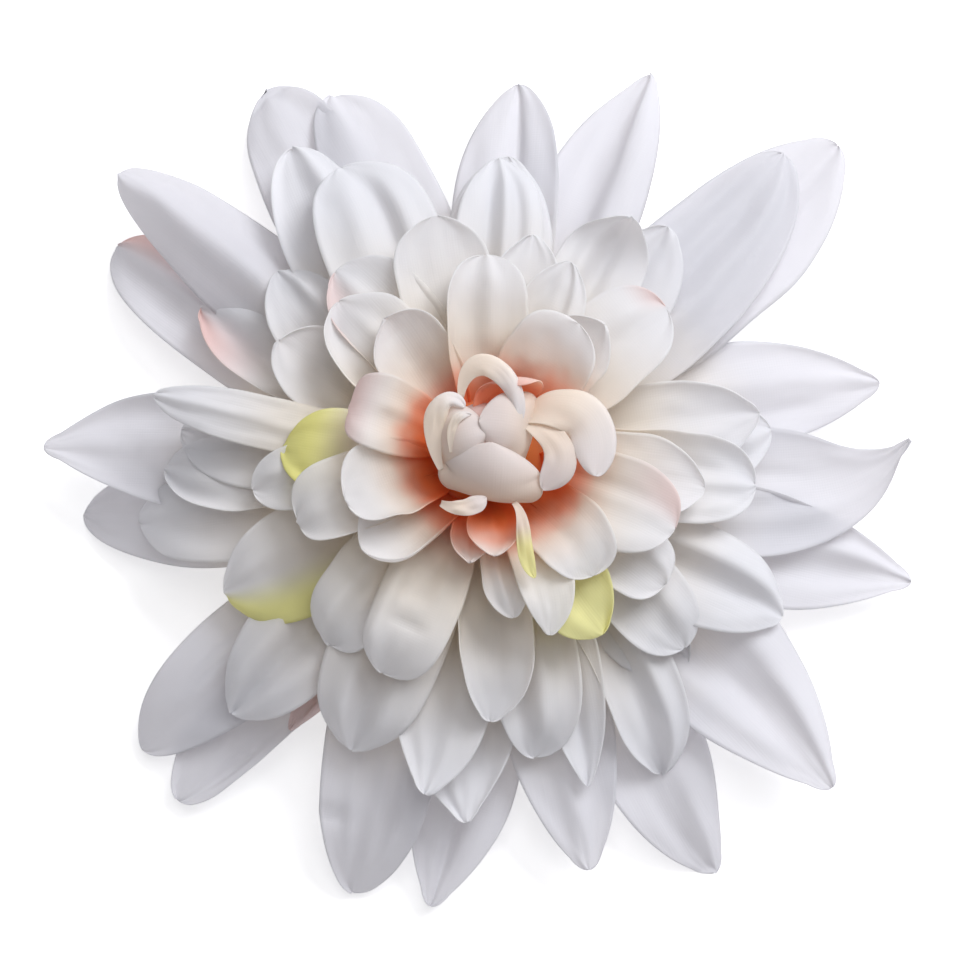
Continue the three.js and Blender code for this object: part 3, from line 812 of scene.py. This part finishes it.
def finished(bm, name, stands_for, thickness=None):
    bmesh.ops.scale(bm, vec=(MM, MM, MM), verts=bm.verts)
    mesh = bpy.data.meshes.new(name)
    bm.to_mesh(mesh)
    bm.free()
    mesh.shade_smooth()
    piece = placed(name, mesh)
    if thickness:
        solidify = piece.modifiers.new("thickness", "SOLIDIFY")
        solidify.thickness = thickness * MM
        solidify.offset = 0
    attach(piece, "root")
    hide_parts(stands_for)
    print(name, "has", len(mesh.polygons), "faces before its modifiers")
    return piece


print("a petal is", PETAL_THICKNESS, "mm thick")

# %% [markdown]
# ## The white petals
# All the petals of a ring or two go into one piece, so that no piece grows too heavy. The outer petals are
# large and get larger folds, and the inner ones are small and smoother.

# %% The white petals
GROUPS = {
    "outer_petals": (("outer_low", "outer_high"), 1.4),
    "middle_low_petals": (("middle_low",), 1.1),
    "middle_high_petals": (("middle_high",), 1),
    "inner_petals": (("inner_low",), 0.8),
    "heart_petals": (("inner_middle", "inner_high"), 0.5),
}
white_pieces = []
seed = 0
for group, (names, fold_size) in GROUPS.items():
    bm = new_sheets()
    for name in names:
        for row in RINGS[name].petals:
            seed += 1
            petal = Petal(*row)
            look = drawn_look(random.Random(seed), fold_size, TOUCHES[name].get(petal.turn, {}))
            add_petal(bm, RINGS[name], petal, look, seed)
    white_pieces.append(finished(bm, group, "bloom", PETAL_THICKNESS))

# %% [markdown]
# ## The curled strips beside the bud
# Four narrow petals next to the bud have rolled out of their ring. None follows a rule, so each has four
# places of its own for its middle line: where it starts, two handles that pull it, and its tip. A place is
# so far right, back and up from the middle of the stalk's end. Then come its width, its hollow and its
# roll.

# %% The curled strips beside the bud
STRIP_RING = Ring(root_radius=0, root_height=0, rise=0, foot=0.35, widest=0.72, petals=())
Strip = namedtuple("Strip", "places width cup roll look")
STRIPS = [
    Strip(
        [(6.2, 3, 42), (9.6, 6.4, 46.6), (20.8, 6.6, 47), (18.2, -6, 43.5)],
        9, -30, 0, dict(rims=(-30, -40), peach=0.2),
    ),
    Strip(
        [(5.8, 2.8, 43), (9.5, 2.6, 47), (16.6, -3, 46), (9.6, -8, 42.8)],
        5.4, -30, 0, dict(rims=(-20, -20), fullness=4, peach=0.2),
    ),
    Strip(
        [(-6.8, -10.4, 43), (-4.4, -12, 44.6), (-1.6, -11.4, 44.8), (0.4, -9.6, 44)],
        3, -20, 0, dict(rims=(-30, -30), fullness=2, peach=0.2),
    ),
    Strip(
        [(5, -10, 41.6), (7.6, -13, 42.6), (5.4, -17, 41.4), (8.4, -22, 39.4)],
        2.6, -20, -10, dict(rims=(0, 0), fullness=2, peach=0.2, lime=(0.8, 0, 0.35)),
    ),
]
LEVEL_PETAL = Petal(**dict.fromkeys(Petal._fields, 0))._replace(roundness=ROUND_TIP)
STRIP_SIZE = 0.1
CALM = dict(folds=(), curl=0, sweep=0, ragged=0.02, fullness=3, coral=0)


def add_strip(bm, ring, strip, seed, winding=False):
    """A petal along its own four places. A winding one keeps its sides flat, however it turns."""
    line = [Vector(place) for place in strip.places]
    level = None if winding else UPWARD.cross(line[3] - line[0]).normalized()
    petal = LEVEL_PETAL._replace(width=strip.width, cup=strip.cup, roll=strip.roll)
    look = drawn_look(random.Random(seed), STRIP_SIZE, CALM | strip.look)
    add_petal(bm, ring, petal, look, seed, line, level)


bm = new_sheets()
for strip in STRIPS:
    seed += 1
    add_strip(bm, STRIP_RING, strip, seed)
white_pieces.append(finished(bm, "curled_strips", "bloom", PETAL_THICKNESS))

# %% [markdown]
# ## The receptacle
# Under the petals sits the receptacle, the thick end of the stalk that they all grow from. It is round, so
# one profile spun about the upright axis makes it. The poles are merged afterwards, so that it is one
# closed body.

# %% The receptacle
RECEPTACLE = [
    (0, 5.6), (9.6, 5.6), (12.6, 7.4), (13.4, 12), (12.8, 17), (12, 21),
    (11, 25.5), (10, 29), (8, 32), (4, 32.9), (0, 32.98),
]
ROUND_STEPS = 64
SAME_PLACE = 0.001


def spun(bm, profile):
    corners = [bm.verts.new((radius, 0, height)) for radius, height in profile]
    edges = [bm.edges.new(pair) for pair in zip(corners, corners[1:])]
    bmesh.ops.spin(
        bm, geom=corners + edges, axis=(0, 0, 1), cent=(0, 0, 0), angle=2 * pi,
        steps=ROUND_STEPS, use_merge=True,
    )
    bmesh.ops.remove_doubles(bm, verts=bm.verts, dist=SAME_PLACE)
    bmesh.ops.recalc_face_normals(bm, faces=bm.faces)


bm = new_sheets()
spun(bm, RECEPTACLE)
for corner in bm.verts:
    tint_corner(bm, corner, PLAIN, 0, 0)
white_pieces.append(finished(bm, "receptacle", "bloom"))

# %% [markdown]
# ## The bud's petals
# The middle of the bloom is still closed. Four broad petals wrap it: one at the back, one at each side, and
# one in front that rises like a dome. Two narrow ones curl over them, a long one as an arch and a short one
# at the left, and one small blade stands between. They too are strips along lines of their own, with their
# hollow side turned in.

# %% The bud's petals
BUD_RING = Ring(root_radius=0, root_height=0, rise=0, foot=0.25, widest=0.5, petals=())
BUD_WRAPS = [
    Strip(
        [(3, 6, 36), (4.6, 9.8, 42), (3, 10.2, 45.4), (2.2, 8.8, 47)],
        13, 40, 0, dict(rims=(0, 0), coral=0.8),
    ),
    Strip(
        [(-5.4, -1, 34), (-10.6, -0.8, 43), (-6.2, 0.2, 49.2), (0.6, 1.2, 47)],
        12, -52, 0, dict(rims=(0, 0)),
    ),
    Strip(
        [(5.6, 0.6, 34), (11.2, 1, 43), (6.2, 1.8, 49.4), (-0.6, 2.4, 47.6)],
        13, -52, 0, dict(rims=(0, 0)),
    ),
    Strip(
        [(0.4, -5, 33.6), (0.6, -12.8, 40.4), (0.8, -9.2, 48.4), (1.2, -1.4, 47.9)],
        19, -62, 0, dict(rims=(0, 0)),
    ),
]
BUD_CURLS = [
    Strip(
        [(-6.8, -4.8, 42.6), (-9.6, 1.4, 46.5), (-7.2, 8.6, 49.6), (-3, 4.8, 46.8)],
        3.6, -60, 0, dict(rims=(-20, -20), peach=0.2),
    ),
    Strip(
        [(-3.6, 6.6, 45), (-3.2, 14.6, 49), (5.6, 12.4, 50), (6, 2.6, 46)],
        4, -50, 0, dict(rims=(-20, -20), peach=0.2),
    ),
    Strip(
        [(-5.2, -2.6, 45.6), (-5.6, 1.4, 48.2), (-4.4, 4, 48.6), (-2, 3.4, 47.2)],
        1.6, -30, 0, dict(rims=(-20, -20), fullness=2, peach=0.5),
    ),
]
bm = new_sheets()
for strips, winding in ((BUD_WRAPS, False), (BUD_CURLS, True)):
    for strip in strips:
        seed += 1
        add_strip(bm, BUD_RING, strip, seed, winding)
bud_petals = finished(bm, "bud_petals", "bud", PETAL_THICKNESS)

# %% [markdown]
# ## The egg inside the bud
# In a real bud the petals are packed tight down to the middle. Only the outermost ones show, so an egg
# stands for all the others: it fills the wraps, and its peach and coral glow shows between their rims.

# %% The egg inside the bud
BUD_EGG = [(0, 33.3), (5.2, 33.4), (6.2, 35.8), (6.7, 39), (6.4, 42), (5, 44.6), (2.7, 46), (0, 46.4)]
EGG_TINTS = dict(peach=1, coral=0.3)
bm = new_sheets()
spun(bm, BUD_EGG)
for corner in bm.verts:
    for name, value in EGG_TINTS.items():
        corner[bm.verts.layers.float[name]] = value
bud_egg = finished(bm, "bud_egg", "bud")

# %% [markdown]
# ## The green back
# The photograph never shows it, but a bloom is picked with its green cup: a ring of narrow bracts and the
# cut end of the stalk, which it stands on. Bracts are small thick petals, so the petal's own formula makes
# them. The cup is round, so it is spun like the receptacle.

# %% The green back
BRACT_COUNT = 8
FIRST_BRACT = 22
BRACT_THICKNESS = 0.8
BRACT_SIZE = 0.25
BRACT_RING = Ring(root_radius=5, root_height=3.4, rise=6, foot=0.6, widest=0.45, petals=())
BRACT = LEVEL_PETAL._replace(reach=21, width=9, height=2.4, slope=-12, cup=10, roundness=0.7, pinch=4)
CUP = [(0, 0), (3.9, 0), (4.2, 0.3), (4.2, 1.6), (5.2, 2.1), (6.6, 2.7), (8.8, 4), (9.4, 5.2), (0, 5.2)]
bm = new_sheets()
for i in range(BRACT_COUNT):
    seed += 1
    bract = BRACT._replace(turn=FIRST_BRACT + 360 * i / BRACT_COUNT)
    look = drawn_look(random.Random(seed), BRACT_SIZE, {})
    add_petal(bm, BRACT_RING, bract, look, seed, rows=CELLS_ALONG // 2, half_cells=HALF_CELLS // 2 + 1)
bracts = finished(bm, "bracts", "calyx", BRACT_THICKNESS)
bm = new_sheets()
spun(bm, CUP)
cup = finished(bm, "green_cup", "calyx")

# %% [markdown]
# ## How a material is built
# A material is a small workshop of nodes: some read a place or a tint, some mix colours, and a shader at
# the end says how the surface throws light back. They can be wired by hand in the shader editor. In code,
# one helper that adds a node, with its settings and whatever feeds it, keeps the wiring readable. A Mix
# node has inputs for numbers, vectors and colours in turn, so those for colours get names here.

# %% How a material is built
MIX_BELOW = 6
MIX_ABOVE = 7
MIX_RESULT = 2


def blank_material(name):
    material = bpy.data.materials.new(name)
    material.use_nodes = True
    material.node_tree.nodes.clear()
    return material


def add_node(material, kind, feeds, **settings):
    """A node with its settings. What feeds an input is a fixed value or another node's output."""
    node = material.node_tree.nodes.new("ShaderNode" + kind)
    for setting, value in settings.items():
        setattr(node, setting, value)
    for place, feed in feeds.items():
        if isinstance(feed, bpy.types.NodeSocket):
            material.node_tree.links.new(feed, node.inputs[place])
        else:
            node.inputs[place].default_value = feed
    return node


def mixed(material, share, below, above, blend="MIX"):
    """A colour between two others, by a share from 0 to 1."""
    feeds = {"Factor": share, MIX_BELOW: below, MIX_ABOVE: above}
    return add_node(material, "Mix", feeds, data_type="RGBA", blend_type=blend).outputs[MIX_RESULT]


def surfaced(material, shader, output):
    add_node(material, "OutputMaterial", {"Surface": shader.outputs[output]})
    print("material:", material.name)
    return material


print("a colour mix reads its two colours from inputs", MIX_BELOW, "and", MIX_ABOVE)

# %% [markdown]
# ## The petals' colour
# The outermost petals get a greyer, cooler white than those further in: painted shade that darkens the
# outer ring. Over the white lie the mesh's tints, one after another: cream, which is painted warm shade,
# then peach, coral, pink and lime. Each has a strength, so that the bud can use the same tints more gently.

# %% The petals' colour
# painted shade: the outermost petals get a greyer, cooler white than the petals further in
SHADED_OUTER_WHITE = (0.80, 0.82, 0.885, 1)
PETAL_WHITE = (0.86, 0.885, 0.945, 1)
TINT_COLOURS = {
    # painted warm shade, the cream of the bloom's deep middle and of the petals' lower parts
    "warm_shade": (0.90, 0.865, 0.80, 1),
    "peach": (0.84, 0.56, 0.38, 1),
    "coral": (0.92, 0.26, 0.07, 1),
    "pink": (0.86, 0.55, 0.50, 1),
    "lime": (0.88, 0.88, 0.40, 1),
}


def tinted(material, base, strengths):
    colour = base
    for tint, over in TINT_COLOURS.items():
        kept = add_node(material, "Attribute", {}, attribute_name=tint)
        feeds = {0: kept.outputs["Fac"], 1: strengths[tint]}
        share = add_node(material, "Math", feeds, operation="MULTIPLY")
        colour = mixed(material, share.outputs[0], colour, over)
    return colour


print("tints over the white:", ", ".join(TINT_COLOURS))

# %% [markdown]
# ## The petals' grain
# Seen close, a petal has veins that run lengthwise and a fine grain like a weave. Geometry would be far too
# heavy for it, so it is a bump: noise drawn out along the petal for the veins, and two crossed waves for
# the threads. Both read how far along and across the petal a place is, so the grain follows every bend.

# %% The petals' grain
VEIN_STRETCH = (1.6, 0.06, 1)
VEIN_DETAIL = 3
WEAVE_SCALE = 0.7
THREAD_WAVER = 0.6
THREAD_HEIGHT = 0.12
GRAIN_STRENGTH = 0.25
GRAIN_DEPTH = 0.12 * MM


def cloth_grain(material):
    cloth = add_node(material, "Attribute", {}, attribute_name="cloth").outputs["Vector"]
    veins = add_node(material, "Mapping", {"Vector": cloth, "Scale": VEIN_STRETCH})
    feeds = {"Vector": veins.outputs["Vector"], "Scale": 1, "Detail": VEIN_DETAIL}
    height = add_node(material, "TexNoise", feeds).outputs["Fac"]
    for direction in ("X", "Y"):
        feeds = {"Vector": cloth, "Scale": WEAVE_SCALE, "Distortion": THREAD_WAVER}
        thread = add_node(material, "TexWave", feeds, bands_direction=direction)
        feeds = {0: thread.outputs["Fac"], 1: THREAD_HEIGHT, 2: height}
        height = add_node(material, "Math", feeds, operation="MULTIPLY_ADD").outputs[0]
    feeds = {"Height": height, "Strength": GRAIN_STRENGTH, "Distance": GRAIN_DEPTH}
    return add_node(material, "Bump", feeds).outputs["Normal"]


print("veins and threads raise the surface by up to", GRAIN_DEPTH / MM, "mm")

# %% [markdown]
# ## Petals that let light through
# Petals are thin enough to let light through, which is why a white flower seems to glow. One shader alone
# can't show that, so two are mixed: one reflects like soft cloth, and one, Translucent, passes on the light
# that falls on the other side, a little warmer than it came.

# %% Petals that let light through
PETAL_ROUGHNESS = 0.6
PETAL_SHINE = 0.3
PETAL_SHEEN = 0.1
WARM_GLOW = (1, 0.94, 0.86, 1)
LIGHT_THROUGH = 0.52
WHITE_TINTS = dict(warm_shade=0.9, peach=0.5, coral=1, pink=0.6, lime=1)
BUD_TINTS = dict(warm_shade=0.9, peach=0.14, coral=0.9, pink=0.6, lime=1)


def petal_material(name, base, strengths):
    material = blank_material(name)
    colour = tinted(material, base, strengths)
    grain = cloth_grain(material)
    front = add_node(material, "BsdfPrincipled", {
        "Base Color": colour, "Normal": grain, "Roughness": PETAL_ROUGHNESS,
        "Specular IOR Level": PETAL_SHINE, "Sheen Weight": PETAL_SHEEN,
    })
    glow = mixed(material, 1, colour, WARM_GLOW, "MULTIPLY")
    through = add_node(material, "BsdfTranslucent", {"Color": glow, "Normal": grain})
    shaders = {"Fac": LIGHT_THROUGH, 1: front.outputs["BSDF"], 2: through.outputs["BSDF"]}
    return surfaced(material, add_node(material, "MixShader", shaders), "Shader")


base_petal_material = petal_material("white_petal", PETAL_WHITE, WHITE_TINTS)
# the outermost petals take the painted-shade white
outermost = petal_material("outer_petal", SHADED_OUTER_WHITE, WHITE_TINTS)
for piece in white_pieces:
    piece.data.materials.append(outermost if piece.name == "outer_petals" else base_petal_material)
peachy = petal_material("bud_petal", PETAL_WHITE, BUD_TINTS)
for piece in (bud_petals, bud_egg):
    piece.data.materials.append(peachy)

# %% [markdown]
# ## The green back's skin
# The bracts and the cup are a mottled fresh green, and the cut end shows pale pith in rings. One material
# can hold both, because the cut lies at the very bottom: a low height chooses the pith and anything above
# it the skin. Soft clouds of noise, read from the place on the piece, mottle the green.

# %% The green back's skin
DEEP_GREEN = (0.16, 0.25, 0.07, 1)
FRESH_GREEN = (0.25, 0.36, 0.11, 1)
PALE_PITH = (0.66, 0.68, 0.42, 1)
GREEN_PITH = (0.42, 0.50, 0.20, 1)
CLOUD_SCALE = 260
CLOUD_SPREAD = (0.35, 0.7)
RING_SCALE = 260
RING_WAVER = 1
CUT_EDGE = (0.1 * MM, 0.5 * MM)
SKIN_ROUGHNESS = 0.6
SKIN_SHINE = 0.3


def between(material, value, low, high):
    """Turns a value that runs from low to high into a share from 0 to 1."""
    feeds = {"Value": value, "From Min": low, "From Max": high}
    return add_node(material, "MapRange", feeds).outputs["Result"]


green = blank_material("green_back")
place = add_node(green, "TexCoord", {}).outputs["Object"]
height = add_node(green, "SeparateXYZ", {"Vector": place}).outputs["Z"]
clouds = add_node(green, "TexNoise", {"Vector": place, "Scale": CLOUD_SCALE}).outputs["Fac"]
feeds = {"Vector": place, "Scale": RING_SCALE, "Distortion": RING_WAVER}
pith = add_node(green, "TexWave", feeds, wave_type="RINGS", rings_direction="Z").outputs["Fac"]
skin = mixed(green, between(green, clouds, *CLOUD_SPREAD), DEEP_GREEN, FRESH_GREEN)
cut_end = mixed(green, pith, PALE_PITH, GREEN_PITH)
leaf = add_node(green, "BsdfPrincipled", {
    "Base Color": mixed(green, between(green, height, *CUT_EDGE), cut_end, skin),
    "Roughness": SKIN_ROUGHNESS, "Specular IOR Level": SKIN_SHINE,
})
surfaced(green, leaf, "BSDF")
for piece in (bracts, cup):
    piece.data.materials.append(green)

# %% [markdown]
# ## The floor
# The bloom lies on a plain pale floor. A photographer would light a white sheet from behind. Here the floor
# glows a little by itself, so it stays paler than the petals, and their soft shadow still shows on it.

# %% The floor
FLOOR_PAINT = (0.9, 0.9, 0.91, 1)
FLOOR_ROUGHNESS = 0.9
FLOOR_GLOW = 0.42
HALF_FLOOR = 3
floor_mesh = bpy.data.meshes.new("floor")
bm = bmesh.new()
bmesh.ops.create_grid(bm, x_segments=1, y_segments=1, size=HALF_FLOOR)
bm.to_mesh(floor_mesh)
bm.free()
floor = placed("floor", floor_mesh)
pale = blank_material("pale_floor")
paint = add_node(pale, "BsdfPrincipled", {
    "Base Color": FLOOR_PAINT, "Roughness": FLOOR_ROUGHNESS,
    "Emission Color": (1, 1, 1, 1), "Emission Strength": FLOOR_GLOW,
})
floor_mesh.materials.append(surfaced(pale, paint, "BSDF"))

# %% [markdown]
# ## The light
# A large soft light from the upper right makes the folds show, and a weaker one from above lights the cups.
# Both are area lights, because a bare point or a sun would cut hard shadows across the petals. A pale world
# fills the shadows, because white petals throw light on each other.

# %% The light
WORLD_COLOUR = (0.98, 0.975, 1, 1)
WORLD_STRENGTH = 0.4
BLOOM_MIDDLE = Vector((0, 0, 0.02))
world = bpy.data.worlds.new("pale_world")
world.use_nodes = True
world.node_tree.nodes["Background"].inputs["Color"].default_value = WORLD_COLOUR
world.node_tree.nodes["Background"].inputs["Strength"].default_value = WORLD_STRENGTH
bpy.context.scene.world = world


def soft_light(name, place, size, power, colour):
    lamp = bpy.data.lights.new(name, "AREA")
    lamp.size = size
    lamp.energy = power
    lamp.color = colour
    light = placed(name, lamp)
    light.location = place
    light.rotation_euler = (BLOOM_MIDDLE - Vector(place)).to_track_quat("-Z", "Y").to_euler()
    print(name, "gives", power, "watts")


soft_light("key_light", (0.42, 0.46, 0.66), size=0.5, power=7.5, colour=(0.98, 0.985, 1))
soft_light("top_light", (0.05, 0.15, 0.9), size=0.4, power=1.6, colour=(1, 1, 1))

# %% [markdown]
# ## The camera
# The photograph looks almost straight down on the bloom, from a little to the front. A long lens from
# further away shows it as the photograph does, with little difference in scale between its near and its far
# petals.

# %% The camera
CAMERA_DISTANCE = 0.7
CAMERA_ELEVATION = 79.5
LENS = 152
AIM = Vector((-0.0005, 0.0014, 0))
back = Vector((0, -cos(radians(CAMERA_ELEVATION)), sin(radians(CAMERA_ELEVATION))))
camera_data = bpy.data.cameras.new("camera")
camera_data.lens = LENS
camera = placed("camera", camera_data)
camera.location = AIM + back * CAMERA_DISTANCE
camera.rotation_euler = (-back).to_track_quat("-Z", "Y").to_euler()
bpy.context.scene.camera = camera
bpy.context.scene.view_settings.view_transform = "Standard"
print("the camera stands", CAMERA_DISTANCE, "m away")
